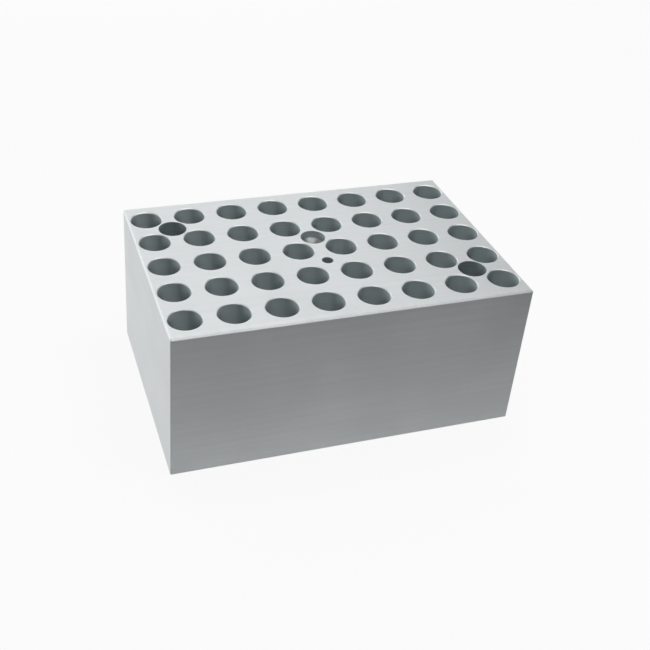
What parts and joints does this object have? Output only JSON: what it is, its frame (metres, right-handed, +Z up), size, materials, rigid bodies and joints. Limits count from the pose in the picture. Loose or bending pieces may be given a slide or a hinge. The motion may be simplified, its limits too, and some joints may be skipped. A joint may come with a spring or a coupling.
{
  "type": "dry block heater sample block",
  "caption": "Machined aluminium sample block for a dry block heater: a grid of microtube wells, a lifting thread, a probe hole and captive fixing screws.",
  "frame": {"origin": "centre of the block's base", "axes": "+X along the block's length, +Y to the back, towards the side with the lifting thread, +Z up"},
  "size_m": [0.1256, 0.083, 0.056],
  "materials": {
    "machined_aluminium": "finely milled, natural",
    "stainless_steel": "turned",
    "spring_steel": "bright",
    "white_polymer": "natural"
  },
  "bodies": {
    "block": {"block_body": "machined_aluminium", "lift_insert": "stainless_steel", "lock_washer_left": "spring_steel", "plain_washer_left": "stainless_steel", "lock_washer_right": "spring_steel", "plain_washer_right": "stainless_steel"},
    "left_retainer": {"retaining_washer_left": "white_polymer"},
    "left_screw": {"fixing_screw_left": "stainless_steel"},
    "right_retainer": {"retaining_washer_right": "white_polymer"},
    "right_screw": {"fixing_screw_right": "stainless_steel"}
  },
  "joints": [
    {"name": "left_screw_travel", "type": "slide", "parent": "block", "child": "left_retainer", "axis": [0, 0, -1], "range_m": [0, 0.008]},
    {"name": "left_screw_turn", "type": "hinge", "parent": "left_retainer", "child": "left_screw", "pos_m": [-0.048, 0.024, 0], "axis": [0, 0, -1], "range_deg": [0, 3600]},
    {"name": "right_screw_travel", "type": "slide", "parent": "block", "child": "right_retainer", "axis": [0, 0, -1], "range_m": [0, 0.008]},
    {"name": "right_screw_turn", "type": "hinge", "parent": "right_retainer", "child": "right_screw", "pos_m": [0.048, -0.024, 0], "axis": [0, 0, -1], "range_deg": [0, 3600]}
  ],
  "couplings": [
    {"joint": "left_screw_turn", "follows": "left_screw_travel", "rad_per_m": 7854},
    {"joint": "right_screw_turn", "follows": "right_screw_travel", "rad_per_m": 7854}
  ]
}
